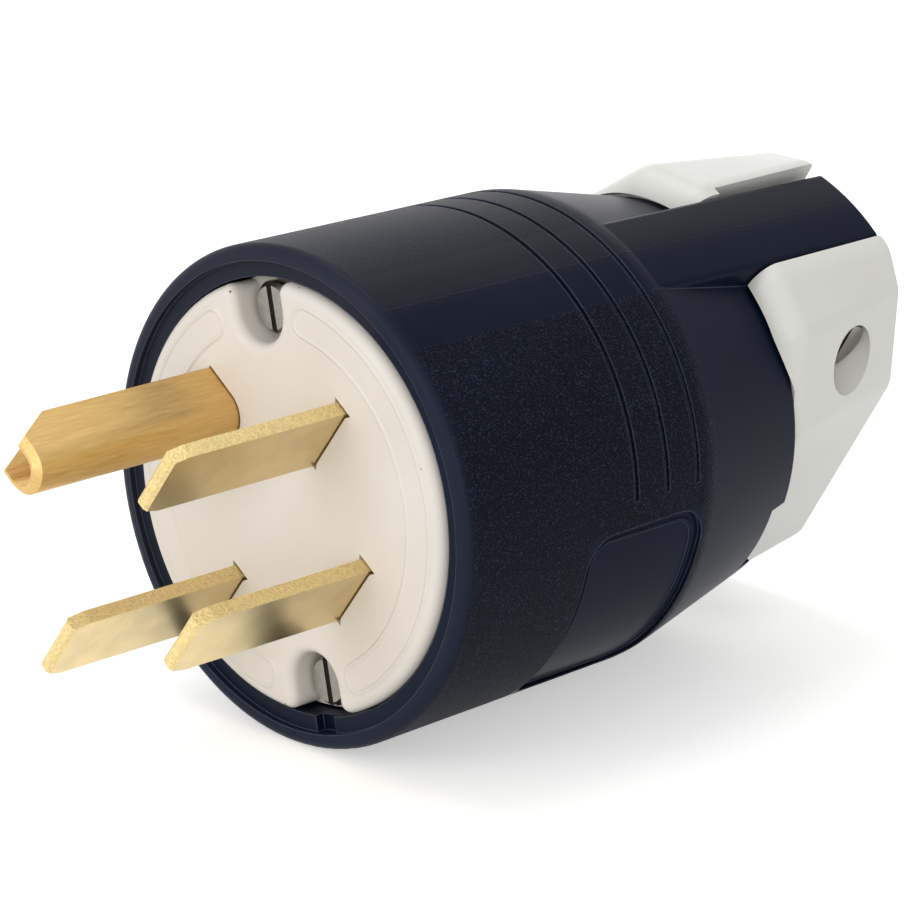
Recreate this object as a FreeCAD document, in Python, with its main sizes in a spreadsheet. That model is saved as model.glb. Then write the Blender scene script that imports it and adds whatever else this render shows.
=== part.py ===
import FreeCAD, Part
import math
import os
import re
import Sketcher

# Three-pole, four-wire straight blade plug with a moulded housing and a two-jaw cord clamp.
# The plug's axis is Y: the blades point to -Y and the cord leaves at +Y.
# The origin is the centre of the front face of the contact carrier.
# Each sub-part is drawn in a frame whose X is its own radial direction and is then turned
# about the axis, so the ground pin's frame is at 90 degrees and the clamp closes along Z.
# The whole plug lies as it comes to rest, turned about its axis by rest_roll.

DIMENSIONS = (
    ("rest_roll", 58.2, "turn about the axis at which the plug lies on a table, degrees"),
    ("contact_turn", -5.0, "turn of the contacts against the clamp, degrees"),
    ("margin", 1.0, "overrun of a cut beyond the surface it opens"),
    ("fit", 0.3, "clearance of a moulded piece in its seat"),
    ("running_fit", 0.2, "clearance of a metal piece in its slot"),
    ("housing_front_r", 36.5, "radius of the housing at its front rim"),
    ("housing_taper", 0.6, "loss of radius from the rim to the start of the shoulder"),
    ("rim_front", 0.3, "setback of the rim's front from the carrier's face"),
    ("rim_rounding", 1.6, "rounding of the rim's outer edge"),
    ("rim_width", 2.4, "width of the raised rim"),
    ("band_front", 1.4, "setback of the sunk band from the carrier's face"),
    ("band_width", 2.4, "width of the sunk band inside the rim"),
    ("shoulder_start", 49.0, "distance from the face to the start of the shoulder"),
    ("shoulder_rounding", 9.0, "rounding between the cylinder and the shoulder"),
    ("shoulder_drop", 5.4, "loss of radius along the shoulder"),
    ("lip_end", 73.5, "distance from the face to the rear lip of the shoulder"),
    ("lip_wall", 3.3, "wall of the shoulder at its lip"),
    ("shell_wall", 5.7, "wall between the outside and the wiring cavity"),
    ("notch_half", 6.3, "half width of the clamp notch in the lip"),
    ("notch_depth", 3.4, "depth of the clamp notch in the lip"),
    ("groove_first", 33.9, "distance from the face to the first grip groove"),
    ("groove_pitch", 6.35, "spacing of the grip grooves"),
    ("groove_width", 1.4, "width of a grip groove"),
    ("groove_depth", 0.5, "depth of a grip groove"),
    ("groove_sweep", 115.0, "angle that each grip groove covers"),
    ("panel_start", 24.5, "distance from the face to the sunk side panel"),
    ("panel_length", 24.0, "length of the sunk side panel along the axis"),
    ("panel_half", 16.0, "half width of the sunk side panel"),
    ("panel_depth", 0.7, "depth of the sunk side panel"),
    ("panel_corner", 5.0, "corner rounding of the sunk side panel"),
    ("spine_half", 7.2, "half width of each rear spine"),
    ("spine_front_drop", 0.3, "depth of the spine's outside below the cylinder where it starts"),
    ("spine_rear_drop", 2.0, "depth of the spine's outside below the cylinder at the rear"),
    ("spine_thickness", 5.8, "thickness of each spine at the rear"),
    ("spine_edge", 1.0, "rounding of the spine's long edges"),
    ("rear_end", 99.4, "distance from the face to the rear end"),
    ("flange", 8.0, "thickness of the carrier's flange"),
    ("face_rounding", 1.6, "rounding of the face's outer edge"),
    ("block_gap", 1.6, "space around the carrier's block behind the flange"),
    ("block_end", 30.0, "distance from the face to the rear of the block"),
    ("retainer", 4.0, "thickness of the contact retainer"),
    ("wire_hole_r", 4.6, "radius of a wire hole in the retainer"),
    ("face_screw_edge", 4.5, "distance of a face screw's middle from the face's edge"),
    ("face_screw_angle", 43.5, "angle of the first face screw"),
    ("face_screw_r", 2.1, "shank radius of a face screw"),
    ("face_head_r", 3.8, "head radius of a face screw"),
    ("face_head", 2.6, "head height of a face screw"),
    ("face_notch_r", 4.7, "half width of the notch that holds a face screw"),
    ("face_notch", 5.6, "depth of the notch that holds a face screw"),
    ("head_crown", 0.65, "bevel of a screw head's edge"),
    ("screw_slot", 1.0, "width of a screwdriver slot"),
    ("slot_depth", 1.4, "depth of a screwdriver slot"),
    ("insert_r", 3.0, "radius of a threaded insert"),
    ("insert_length", 10.0, "length of a threaded insert"),
    ("boss_r", 5.4, "radius of the boss around an insert"),
    ("boss_length", 14.0, "length of that boss"),
    ("key_half", 2.0, "half width of the key notch in the sunk band"),
    ("key_depth", 1.5, "depth of the key notch behind the sunk band"),
    ("blade_width", 11.3, "width of a blade"),
    ("blade_thickness", 2.2, "thickness of a blade"),
    ("blade_length", 31.2, "reach of a blade in front of the face"),
    ("blade_corner", 0.7, "loss of width on each side at a blade's tip"),
    ("blade_lead", 2.8, "length over which the tip narrows"),
    ("blade_bevel", 0.45, "bevel of a blade's tip"),
    ("slot_flare", 0.6, "widening of a blade's slot at its ends, on each side"),
    ("slot_flare_length", 0.9, "length of that widening"),
    ("blade_x_edge", 11.25, "distance from blade X to the face's edge"),
    ("blade_y_edge", 4.15, "distance from blade Y to the face's edge"),
    ("blade_z_edge", 13.6, "distance from blade Z to the face's edge"),
    ("pin_half", 3.9, "half width of the ground pin"),
    ("pin_edge", 9.4, "distance from the pin's open side to the face's edge"),
    ("pin_leg", 5.6, "length of the pin's straight legs across the axis"),
    ("pin_wall", 1.4, "wall of the folded ground pin"),
    ("pin_length", 36.7, "reach of the ground pin in front of the face"),
    ("pin_slope_length", 6.0, "length of the sloping cut at the pin's tip"),
    ("pin_slope_rise", 3.6, "height of the sloping cut at the pin's tip"),
    ("pin_bevel", 0.9, "bevel around the pin's tip"),
    ("lug_edge", 4.8, "distance from a terminal lug to the edge of the block"),
    ("lug_spacing", 3.8, "clear width between a lug and the line of the next one's side"),
    ("lug_across", 12.0, "size of a terminal lug across the radius"),
    ("lug_start", 14.2, "distance from the face to the front of the lugs"),
    ("lug_wall", 2.0, "inner wall of a terminal lug"),
    ("lug_side", 1.9, "side wall of a terminal lug"),
    ("lug_thread", 3.6, "outer wall of a terminal lug, which holds the screw"),
    ("terminal_screw_r", 3.1, "radius of a terminal screw"),
    ("terminal_screw", 6.6, "length of a terminal screw"),
    ("plate", 1.3, "thickness of a terminal pressure plate"),
    ("plate_length", 12.0, "length of a terminal pressure plate"),
    ("window_half", 4.2, "half width of the opening to a terminal screw"),
    ("jaw_front", 71.2, "distance from the face to the front of the jaws' outer part"),
    ("jaw_proud", 0.87, "reach of the jaw's sides beyond the spine's rear edge"),
    ("jaw_side", 2.0, "height of the jaw's sides"),
    ("jaw_shoulder_in", 4.4, "distance of the next edge in from the jaw's side"),
    ("jaw_shoulder_z", 14.8, "rear height of that edge"),
    ("jaw_crown_x", 16.3, "half width of the jaw's crown facet"),
    ("jaw_crown_z", 21.7, "rear height of the crown facet"),
    ("jaw_rise", 4.2, "rise of the facets from the rear to the front"),
    ("nut_jaw_rise", 1.6, "extra height of the nut-side jaw's facets"),
    ("jaw_rounding", 4.6, "rounding of the jaw's front edge and between its facets"),
    ("jaw_edge", 1.0, "rounding of the jaw's rear edge"),
    ("tongue_start", 62.0, "distance from the face to the front of the jaws' inner part"),
    ("tongue_wall", 3.3, "wall of the inner part beside the cord"),
    ("tongue_side_z", 16.4, "height of the inner part at its sides"),
    ("tongue_crown_x", 10.0, "half width of the inner part's crown"),
    ("tongue_crown_z", 20.6, "height of the inner part's crown"),
    ("saddle_wall", 5.8, "wall between the cord saddle and a clamp screw"),
    ("saddle_groove", 1.3, "depth of a gripping groove in the saddle"),
    ("saddle_groove_width", 2.4, "width of a gripping groove"),
    ("saddle_groove_pitch", 7.0, "spacing of the gripping grooves"),
    ("saddle_groove_first", 78.0, "distance from the face to the first gripping groove"),
    ("clamp_screw_wall", 3.0, "wall between a clamp screw and the spine's inside"),
    ("clamp_screw_y", 87.5, "distance of the clamp screws from the face"),
    ("clamp_screw_r", 2.4, "shank radius of a clamp screw"),
    ("clamp_head_r", 4.2, "head radius of a clamp screw"),
    ("clamp_head", 3.0, "head height of a clamp screw"),
    ("clamp_seat", 14.3, "distance of the head's and nut's seats from the clamp's middle"),
    ("clamp_bore_r", 4.75, "radius of the counterbore over a clamp screw's head"),
    ("clamp_nut_flats", 9.5, "width across flats of a clamp nut"),
    ("clamp_nut", 3.2, "thickness of a clamp nut"),
    ("relief_gap", 1.6, "height of the nut-side jaw's relief beside the spines"),
    ("relief_start", 77.0, "distance from the face to that relief"),
)

DERIVED = {
    "housing_rear_r": "housing_front_r - housing_taper",
    "band_outer_r": "housing_front_r - rim_width",
    "carrier_r": "band_outer_r - band_width - fit",
    "lip_r": "housing_rear_r - shoulder_drop",
    "lip_inner_r": "lip_r - lip_wall",
    "cavity_r": "housing_rear_r - shell_wall",
    "block_r": "cavity_r - block_gap",
    "floor_r": "housing_rear_r - panel_depth",
    "skin_front": "panel_start - 2 * margin",
    "skin_front_r": "housing_front_r - housing_taper * (skin_front - rim_front)"
                    " / (shoulder_start - rim_front)",
    "shoulder_slope": "shoulder_drop / (lip_end - shoulder_start)",
    "skin_end": "shoulder_start + panel_depth / shoulder_slope",
    "past_rear": "rear_end + margin",
    "through": "2 * (housing_front_r + margin)",
    "spine_front_r": "housing_rear_r - spine_front_drop",
    "spine_rear_r": "housing_rear_r - spine_rear_drop",
    "spine_inside_x": "spine_rear_r - spine_thickness",
    "retainer_end": "block_end + retainer",
    "boss_start": "retainer_end + running_fit",
    "face_screw_circle": "carrier_r - face_screw_edge",
    "blade_x_r": "carrier_r - blade_x_edge - blade_width / 2",
    "blade_y_r": "carrier_r - blade_y_edge - blade_width / 2",
    "blade_z_r": "carrier_r - blade_z_edge - blade_thickness / 2",
    "pin_open_r": "carrier_r - pin_edge",
    "pin_round_r": "pin_open_r - pin_leg",
    "lug_half": "lug_across / 2",
    "lug_inner": "lug_half + lug_spacing",
    "lug_outer": "block_r - lug_edge",
    "lug_r": "(lug_inner + lug_outer) / 2",
    "lug_end": "block_end - running_fit",
    "lug_centre_y": "(lug_start + lug_end) / 2",
    "window_outer": "lug_outer - lug_thread",
    "jaw_gap": "spine_half + fit",
    "jaw_side_x": "sqrt(spine_rear_r ^ 2 - spine_half ^ 2) + jaw_proud",
    "jaw_side_z": "jaw_gap + jaw_side",
    "jaw_shoulder_x": "jaw_side_x - jaw_shoulder_in",
    "clamp_screw_x": "spine_inside_x - clamp_screw_r - clamp_screw_wall",
    "saddle_r": "clamp_screw_x - clamp_screw_r - fit - saddle_wall",
    "tongue_half": "saddle_r + tongue_wall",
}
SLACK = 0.05  # how far two equal lengths may differ when an edge is picked

doc = FreeCAD.newDocument("StraightBladePlug")
sizes = doc.addObject("Spreadsheet::Sheet", "Sizes")
for row, (alias, number, meaning) in enumerate(DIMENSIONS, start=1):
    sizes.set(f"A{row}", meaning)
    sizes.set(f"B{row}", str(number))
    sizes.setAlias(f"B{row}", alias)
doc.recompute()


def bind(text):
    # an expression in the sheet's words, as the document reads it
    def cell(match):
        word = match.group(0)
        return f"({bind(DERIVED[word])})" if word in DERIVED else f"Sizes.{word}"
    return re.sub(r"\b[a-z][a-z0-9_]*\b(?!\()", cell, text)


def amount(text):
    return float(sizes.evalExpression(bind(text)))


def new_body(label, turn="0"):
    # a sub-part, turned about the plug's axis by rest_roll and its own angle
    body = doc.addObject("PartDesign::Body", label)
    body.Label = label
    body.Placement = FreeCAD.Placement(
        FreeCAD.Vector(0, 0, 0), FreeCAD.Rotation(FreeCAD.Vector(0, -1, 0), 10)
    )
    body.setExpression("Placement.Rotation.Angle", bind(f"rest_roll + {turn}"))
    return body


def origin_plane(body, role):
    return [entry for entry in body.Origin.OriginFeatures if entry.Role == role][0]


def drawing(body, plane, name, offset="0"):
    # a sketch parallel to one of the body's own planes
    sketch = body.newObject("Sketcher::SketchObject", f"{body.Label}_{name}")
    sketch.AttachmentSupport = (origin_plane(body, plane), [""])
    sketch.MapMode = "FlatFace"
    sketch.setExpression("AttachmentOffset.Base.z", bind(offset))
    return sketch


def across_axis(body, name, distance, turn=None):
    # a sketch square to the plug's axis, at a distance behind the face
    sketch = drawing(body, "XZ_Plane", name, f"-({distance})")
    if turn is not None:
        sketch.AttachmentOffset = FreeCAD.Placement(
            FreeCAD.Vector(0, 0, 0), FreeCAD.Rotation(FreeCAD.Vector(0, 0, 1), 10)
        )
        sketch.setExpression("AttachmentOffset.Base.z", bind(f"-({distance})"))
        sketch.setExpression("AttachmentOffset.Rotation.Angle", bind(turn))
    return sketch


def along_axis(body, name, height="0"):
    # a sketch that holds the plug's axis, or lies above it by a height
    return drawing(body, "XY_Plane", name, height)


def arc_of(sketch, x, y, radius, start_turns, end_turns):
    # a part circle; the ends are given in quarter turns
    full = Part.Circle(FreeCAD.Vector(x, y, 0), FreeCAD.Vector(0, 0, 1), radius)
    quarter = math.pi / 2
    return sketch.addGeometry(
        Part.ArcOfCircle(full, start_turns * quarter, end_turns * quarter), False
    )


def ruled(sketch, kind, text, *entries):
    # a constraint whose value follows the spreadsheet
    index = sketch.addConstraint(Sketcher.Constraint(kind, *entries, amount(text)))
    sketch.setExpression(f"Constraints[{index}]", bind(text))


def hold(sketch, curve, end, x, y):
    for kind, text, axis in (("DistanceX", x, -2), ("DistanceY", y, -1)):
        if text == "0":
            sketch.addConstraint(Sketcher.Constraint("PointOnObject", curve, end, axis))
        else:
            ruled(sketch, kind, text, -1, 1, curve, end)


def outline(sketch, corners):
    # a closed chain of straight lines
    points = [FreeCAD.Vector(amount(x), amount(y), 0) for x, y in corners]
    first = sketch.GeometryCount
    count = len(points)
    for start, end in zip(points, points[1:] + points[:1]):
        sketch.addGeometry(Part.LineSegment(start, end), False)
    for index in range(count):
        following = first + (index + 1) % count
        sketch.addConstraint(Sketcher.Constraint("Coincident", first + index, 2, following, 1))
    for index, (x, y) in enumerate(corners):
        hold(sketch, first + index, 1, x, y)


def rectangle(sketch, low_x, high_x, low_y, high_y):
    outline(sketch, ((low_x, low_y), (high_x, low_y), (high_x, high_y), (low_x, high_y)))


def circle(sketch, x, y, radius):
    centre = FreeCAD.Vector(amount(x), amount(y), 0)
    shape = Part.Circle(centre, FreeCAD.Vector(0, 0, 1), amount(radius))
    curve = sketch.addGeometry(shape, False)
    hold(sketch, curve, 3, x, y)
    ruled(sketch, "Radius", radius, curve)


def soft_rectangle(sketch, low_x, high_x, low_y, high_y, radius, soft=4):
    # a rectangle with rounded corners, or with two of them at its high X side
    left, right, low, high = (amount(text) for text in (low_x, high_x, low_y, high_y))
    r = amount(radius)
    trim = [r if corner < soft else 0 for corner in range(4)]
    ends = (
        ((left + trim[3], low), (right - trim[0], low)),
        ((right, low + trim[0]), (right, high - trim[1])),
        ((right - trim[1], high), (left + trim[2], high)),
        ((left, high - trim[2]), (left, low + trim[3])),
    )
    lines = []
    for (x0, y0), (x1, y1) in ends:
        segment = Part.LineSegment(FreeCAD.Vector(x0, y0, 0), FreeCAD.Vector(x1, y1, 0))
        lines.append(sketch.addGeometry(segment, False))
    centres = ((right - r, low + r), (right - r, high - r), (left + r, high - r), (left + r, low + r))
    for index, (x, y) in enumerate(centres):
        line = lines[index]
        after = lines[(index + 1) % 4]
        if index < soft:
            arc = arc_of(sketch, x, y, r, index - 1, index)
            sketch.addConstraint(Sketcher.Constraint("Tangent", line, 2, arc, 1))
            sketch.addConstraint(Sketcher.Constraint("Tangent", arc, 2, after, 1))
            ruled(sketch, "Radius", radius, arc)
        else:
            sketch.addConstraint(Sketcher.Constraint("Coincident", line, 2, after, 1))
        direction = "Vertical" if index % 2 else "Horizontal"
        sketch.addConstraint(Sketcher.Constraint(direction, line))
    ruled(sketch, "DistanceY", low_y, -1, 1, lines[0], 1)
    ruled(sketch, "DistanceX", high_x, -1, 1, lines[1], 1)
    ruled(sketch, "DistanceY", high_y, -1, 1, lines[2], 1)
    ruled(sketch, "DistanceX", low_x, -1, 1, lines[3], 1)


def spine_section(sketch, inner_x, radius):
    # a bar with parallel sides whose outside is round about the plug's axis
    outer_r = amount(radius)
    half = amount("spine_half")
    edge_r = amount("spine_edge")
    inside = amount(inner_x)
    centre_y = half - edge_r
    centre_x = math.sqrt((outer_r - edge_r) ** 2 - centre_y ** 2)
    tip = math.asin(centre_y / (outer_r - edge_r)) / (math.pi / 2)
    outside = arc_of(sketch, 0, 0, outer_r, -tip, tip)
    upper_edge = arc_of(sketch, centre_x, centre_y, edge_r, tip, 1)
    lower_edge = arc_of(sketch, centre_x, -centre_y, edge_r, -1, -tip)
    upper_start = FreeCAD.Vector(centre_x, half, 0)
    upper_end = FreeCAD.Vector(inside, half, 0)
    lower_start = FreeCAD.Vector(inside, -half, 0)
    lower_end = FreeCAD.Vector(centre_x, -half, 0)
    upper = sketch.addGeometry(Part.LineSegment(upper_start, upper_end), False)
    back = sketch.addGeometry(Part.LineSegment(upper_end, lower_start), False)
    lower = sketch.addGeometry(Part.LineSegment(lower_start, lower_end), False)
    sketch.addConstraint(Sketcher.Constraint("Coincident", outside, 3, -1, 1))
    sketch.addConstraint(Sketcher.Constraint("Tangent", outside, 2, upper_edge, 1))
    sketch.addConstraint(Sketcher.Constraint("Tangent", upper_edge, 2, upper, 1))
    sketch.addConstraint(Sketcher.Constraint("Coincident", upper, 2, back, 1))
    sketch.addConstraint(Sketcher.Constraint("Coincident", back, 2, lower, 1))
    sketch.addConstraint(Sketcher.Constraint("Tangent", lower, 2, lower_edge, 1))
    sketch.addConstraint(Sketcher.Constraint("Tangent", lower_edge, 2, outside, 1))
    sketch.addConstraint(Sketcher.Constraint("Horizontal", upper))
    sketch.addConstraint(Sketcher.Constraint("Vertical", back))
    sketch.addConstraint(Sketcher.Constraint("Horizontal", lower))
    ruled(sketch, "Radius", radius, outside)
    ruled(sketch, "Radius", "spine_edge", upper_edge)
    ruled(sketch, "Radius", "spine_edge", lower_edge)
    ruled(sketch, "DistanceX", inner_x, -1, 1, upper, 2)
    ruled(sketch, "DistanceY", "spine_half", -1, 1, upper, 2)
    ruled(sketch, "DistanceY", "-spine_half", -1, 1, lower, 1)


def open_round(sketch, centre_x, half_width, open_x):
    # a U: a half circle about centre_x that runs straight out to open_x
    centre = FreeCAD.Vector(amount(centre_x), 0, 0)
    half = amount(half_width)
    far = amount(open_x)
    arc = arc_of(sketch, centre.x, 0, half, 1, 3)
    upper_start = FreeCAD.Vector(centre.x, half, 0)
    upper_end = FreeCAD.Vector(far, half, 0)
    lower_start = FreeCAD.Vector(far, -half, 0)
    lower_end = FreeCAD.Vector(centre.x, -half, 0)
    upper = sketch.addGeometry(Part.LineSegment(upper_start, upper_end), False)
    cap = sketch.addGeometry(Part.LineSegment(upper_end, lower_start), False)
    lower = sketch.addGeometry(Part.LineSegment(lower_start, lower_end), False)
    sketch.addConstraint(Sketcher.Constraint("Tangent", arc, 1, upper, 1))
    sketch.addConstraint(Sketcher.Constraint("Tangent", arc, 2, lower, 2))
    sketch.addConstraint(Sketcher.Constraint("Coincident", upper, 2, cap, 1))
    sketch.addConstraint(Sketcher.Constraint("Coincident", cap, 2, lower, 1))
    sketch.addConstraint(Sketcher.Constraint("Horizontal", upper))
    sketch.addConstraint(Sketcher.Constraint("Vertical", cap))
    hold(sketch, arc, 3, centre_x, "0")
    ruled(sketch, "Radius", half_width, arc)
    ruled(sketch, "DistanceX", open_x, -1, 1, upper, 2)


def hexagon(sketch, x, y, flats):
    # a hexagon with two flats along the sketch's X
    corner = f"({flats}) / sqrt(3)"
    side = f"({flats}) / 2"
    outline(sketch, (
        (f"{x} + {corner}", f"{y}"),
        (f"{x} + {corner} / 2", f"{y} + {side}"),
        (f"{x} - {corner} / 2", f"{y} + {side}"),
        (f"{x} - {corner}", f"{y}"),
        (f"{x} - {corner} / 2", f"{y} - {side}"),
        (f"{x} + {corner} / 2", f"{y} - {side}"),
    ))


def extrude(body, kind, sketch, length, reverse=False, both_ways=False):
    feature = body.newObject(f"PartDesign::{kind}", f"{sketch.Name}_{kind}")
    feature.Profile = sketch
    feature.setExpression("Length", bind(length))
    feature.Reversed = reverse
    feature.Midplane = both_ways
    return feature


def loft(body, name, start, end):
    # straight lines between two sections; the start is the one nearer the rear
    feature = body.newObject("PartDesign::AdditiveLoft", f"{body.Label}_{name}")
    feature.Profile = start
    feature.Sections = [end]
    feature.Ruled = True
    return feature


def turned(body, kind, sketch, sweep="360", both_ways=False):
    # a revolution or groove about the plug's axis
    feature = body.newObject(f"PartDesign::{kind}", f"{sketch.Name}_{kind}")
    feature.Profile = sketch
    feature.ReferenceAxis = (sketch, ["V_Axis"])
    feature.setExpression("Angle", bind(sweep))
    feature.Midplane = both_ways
    return feature


def mirrored(body, name, feature, plane):
    copy = body.newObject("PartDesign::Mirrored", f"{body.Label}_{name}")
    copy.Originals = [feature]
    copy.MirrorPlane = (origin_plane(body, plane), [""])
    body.Tip = copy
    return copy


def edge_names(body, chosen):
    doc.recompute()
    edges = body.Tip.Shape.Edges
    return [f"Edge{index}" for index, edge in enumerate(edges, start=1) if chosen(edge)]


def rounded(body, name, size, chosen, kind="Fillet"):
    # a rounding or a bevel of the edges that the test picks on the finished shape so far
    base = body.Tip
    names = edge_names(body, chosen)
    feature = body.newObject(f"PartDesign::{kind}", f"{body.Label}_{name}")
    feature.Base = (base, names)
    feature.setExpression("Radius" if kind == "Fillet" else "Size", bind(size))
    body.Tip = feature
    return feature


def near(value, text):
    return abs(value - amount(text)) < SLACK


def lies_across(edge, distance):
    # whether an edge lies square to the plug's axis at this distance behind the face
    return edge.BoundBox.YLength < SLACK and near(edge.CenterOfMass.y, distance)


def round_edge(radius, distance):
    # picks the full circle of this radius at this distance behind the face
    def test(edge):
        middle = edge.CenterOfMass
        is_circle = isinstance(edge.Curve, Part.Circle)
        return is_circle and near(edge.Curve.Radius, radius) and near(middle.y, distance)
    return test


def make_housing():
    # one moulded shell: grip cylinder, shoulder, rear lip and two spines
    # the outer skin comes first, so that only the skin is cut through by the side panels
    body = new_body("housing")
    skin = along_axis(body, "skin")
    outline(skin, (
        ("floor_r", "skin_front"),
        ("skin_front_r", "skin_front"),
        ("housing_rear_r", "shoulder_start"),
        ("floor_r", "skin_end"),
    ))
    turned(body, "Revolution", skin)
    rounded(body, "shoulder", "shoulder_rounding", round_edge("housing_rear_r", "shoulder_start"))
    panel = along_axis(body, "side_panel")
    panel_end = "panel_start + panel_length"
    soft_rectangle(panel, "-panel_half", "panel_half", "panel_start", panel_end, "panel_corner")
    extrude(body, "Pocket", panel, "through", both_ways=True)

    profile = along_axis(body, "profile")
    outline(profile, (
        ("carrier_r + fit", "band_front"),
        ("band_outer_r", "band_front"),
        ("band_outer_r", "rim_front"),
        ("housing_front_r", "rim_front"),
        ("skin_front_r", "skin_front"),
        ("floor_r", "skin_front"),
        ("floor_r", "skin_end"),
        ("lip_r", "lip_end"),
        ("lip_inner_r", "lip_end"),
        ("cavity_r", "shoulder_start"),
        ("cavity_r", "flange"),
        ("carrier_r + fit", "flange"),
    ))
    turned(body, "Revolution", profile)
    rounded(body, "rim", "rim_rounding", round_edge("housing_front_r", "rim_front"))

    for index in range(3):
        middle = f"groove_first + {index} * groove_pitch"
        groove = along_axis(body, f"groove_{index + 1}")
        outline(groove, (
            ("housing_rear_r + margin", f"{middle} - groove_width / 2"),
            ("housing_rear_r - groove_depth", f"{middle} - groove_width / 4"),
            ("housing_rear_r - groove_depth", f"{middle} + groove_width / 4"),
            ("housing_rear_r + margin", f"{middle} + groove_width / 2"),
        ))
        cut = turned(body, "Groove", groove, "groove_sweep", both_ways=True)
        mirrored(body, f"groove_{index + 1}_other_side", cut, "YZ_Plane")

    root = across_axis(body, "spine_root", "shoulder_start")
    spine_section(root, "cavity_r + running_fit", "spine_front_r")
    end = across_axis(body, "spine_end", "rear_end")
    spine_section(end, "spine_inside_x", "spine_rear_r")
    spine = loft(body, "spine", end, root)
    mirrored(body, "spine_other_side", spine, "YZ_Plane")

    notch = along_axis(body, "lip_notch")
    rectangle(notch, "-notch_half", "notch_half", "lip_end - notch_depth", "lip_end + margin")
    extrude(body, "Pocket", notch, "through", both_ways=True)

    for index in range(2):
        angle = f"face_screw_angle + {index} * 180"
        boss = across_axis(body, f"boss_{index + 1}", "boss_start", angle)
        open_round(boss, "face_screw_circle", "boss_r", "cavity_r + margin")
        extrude(body, "Pad", boss, "boss_length", reverse=True)
    sockets = across_axis(body, "insert_sockets", "boss_start", "face_screw_angle")
    circle(sockets, "face_screw_circle", "0", "insert_r")
    circle(sockets, "-face_screw_circle", "0", "insert_r")
    extrude(body, "Pocket", sockets, "insert_length")

    key = across_axis(body, "key_notch", "band_front", "face_screw_angle")
    rectangle(key, "-band_outer_r", "-carrier_r", "-key_half", "key_half")
    extrude(body, "Pocket", key, "key_depth")
    return body


def make_carrier():
    # the face and the block behind it that holds the contacts, moulded in one
    body = new_body("contact_carrier")
    profile = along_axis(body, "profile")
    outline(profile, (
        ("0", "0"),
        ("carrier_r", "0"),
        ("carrier_r", "flange"),
        ("block_r", "flange"),
        ("block_r", "block_end"),
        ("0", "block_end"),
    ))
    turned(body, "Revolution", profile)
    for index in range(2):
        angle = f"face_screw_angle + {index} * 180"
        notch = across_axis(body, f"screw_notch_{index + 1}", "0", angle)
        open_round(notch, "face_screw_circle", "face_notch_r", "carrier_r + margin")
        extrude(body, "Pocket", notch, "face_notch")
        relief = across_axis(body, f"screw_relief_{index + 1}", "flange", angle)
        open_round(relief, "face_screw_circle", "face_screw_r + fit", "carrier_r + margin")
        extrude(body, "Pocket", relief, "block_end")
    rounded(body, "notch_mouths", "face_rounding", notch_mouths)
    rounded(body, "face_edge", "face_rounding", face_edges)
    holes = across_axis(body, "screw_holes", "0", "face_screw_angle")
    circle(holes, "face_screw_circle", "0", "face_screw_r + fit")
    circle(holes, "-face_screw_circle", "0", "face_screw_r + fit")
    extrude(body, "Pocket", holes, "flange + margin")

    slots = across_axis(body, "blade_slots", "0", "contact_turn")
    flared_slot(slots, "blade_x_r", "0")
    flared_slot(slots, "-blade_y_r", "0")
    flared_slot(slots, "0", "-blade_z_r")
    extrude(body, "Pocket", slots, "lug_start + lug_wall + running_fit")
    pin_slot = across_axis(body, "pin_slot", "0", "contact_turn + 90")
    open_round(pin_slot, "pin_round_r", "pin_half + running_fit", "pin_open_r + running_fit")
    extrude(body, "Pocket", pin_slot, "lug_start")

    for index, name in enumerate(STATIONS):
        angle = f"contact_turn + {index} * 90"
        pocket = across_axis(body, f"{name}_lug_pocket", "lug_start", angle)
        rectangle(pocket, "lug_inner - fit", "lug_outer + fit",
                  "-(lug_half + fit)", "lug_half + fit")
        extrude(body, "Pocket", pocket, "block_end")
        window = across_axis(body, f"{name}_screw_window", "lug_centre_y - window_half", angle)
        rectangle(window, "lug_outer", "block_r + margin", "-window_half", "window_half")
        extrude(body, "Pocket", window, "block_end")
    return body


def flared_slot(sketch, x, y):
    # a slot for a blade, wide along the sketch's X, that widens at its ends
    high = "(blade_width / 2 + running_fit)"
    inner = f"({high} - slot_flare_length)"
    thin = "(blade_thickness / 2 + running_fit)"
    flared = f"({thin} + slot_flare)"
    outline(sketch, (
        (f"{x} - {high}", f"{y} - {flared}"),
        (f"{x} - {inner}", f"{y} - {thin}"),
        (f"{x} + {inner}", f"{y} - {thin}"),
        (f"{x} + {high}", f"{y} - {flared}"),
        (f"{x} + {high}", f"{y} + {flared}"),
        (f"{x} + {inner}", f"{y} + {thin}"),
        (f"{x} - {inner}", f"{y} + {thin}"),
        (f"{x} - {high}", f"{y} + {flared}"),
    ))


def notch_mouths(edge):
    # the corners where the screw notches leave the flange's outer edge
    box = edge.BoundBox
    distance = math.hypot(edge.CenterOfMass.x, edge.CenterOfMass.z)
    straight = box.XLength < SLACK and box.ZLength < SLACK
    return straight and near(distance, "carrier_r") and near(box.YLength, "face_notch")


def face_edges(edge):
    return lies_across(edge, "0")


def make_retainer():
    # the plate that closes the lug pockets behind the carrier
    body = new_body("contact_retainer")
    plate = across_axis(body, "plate", "block_end", "contact_turn")
    circle(plate, "0", "0", "block_r")
    for index in range(4):
        x = f"lug_r * cos({index} * 90)"
        z = f"lug_r * sin({index} * 90)"
        circle(plate, x, z, "wire_hole_r")
    extrude(body, "Pad", plate, "retainer", reverse=True)
    for index in range(2):
        angle = f"face_screw_angle + {index} * 180"
        relief = across_axis(body, f"screw_relief_{index + 1}", "block_end", angle)
        open_round(relief, "face_screw_circle", "face_screw_r + fit", "block_r + margin")
        extrude(body, "Pocket", relief, "retainer")
    return body


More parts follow.
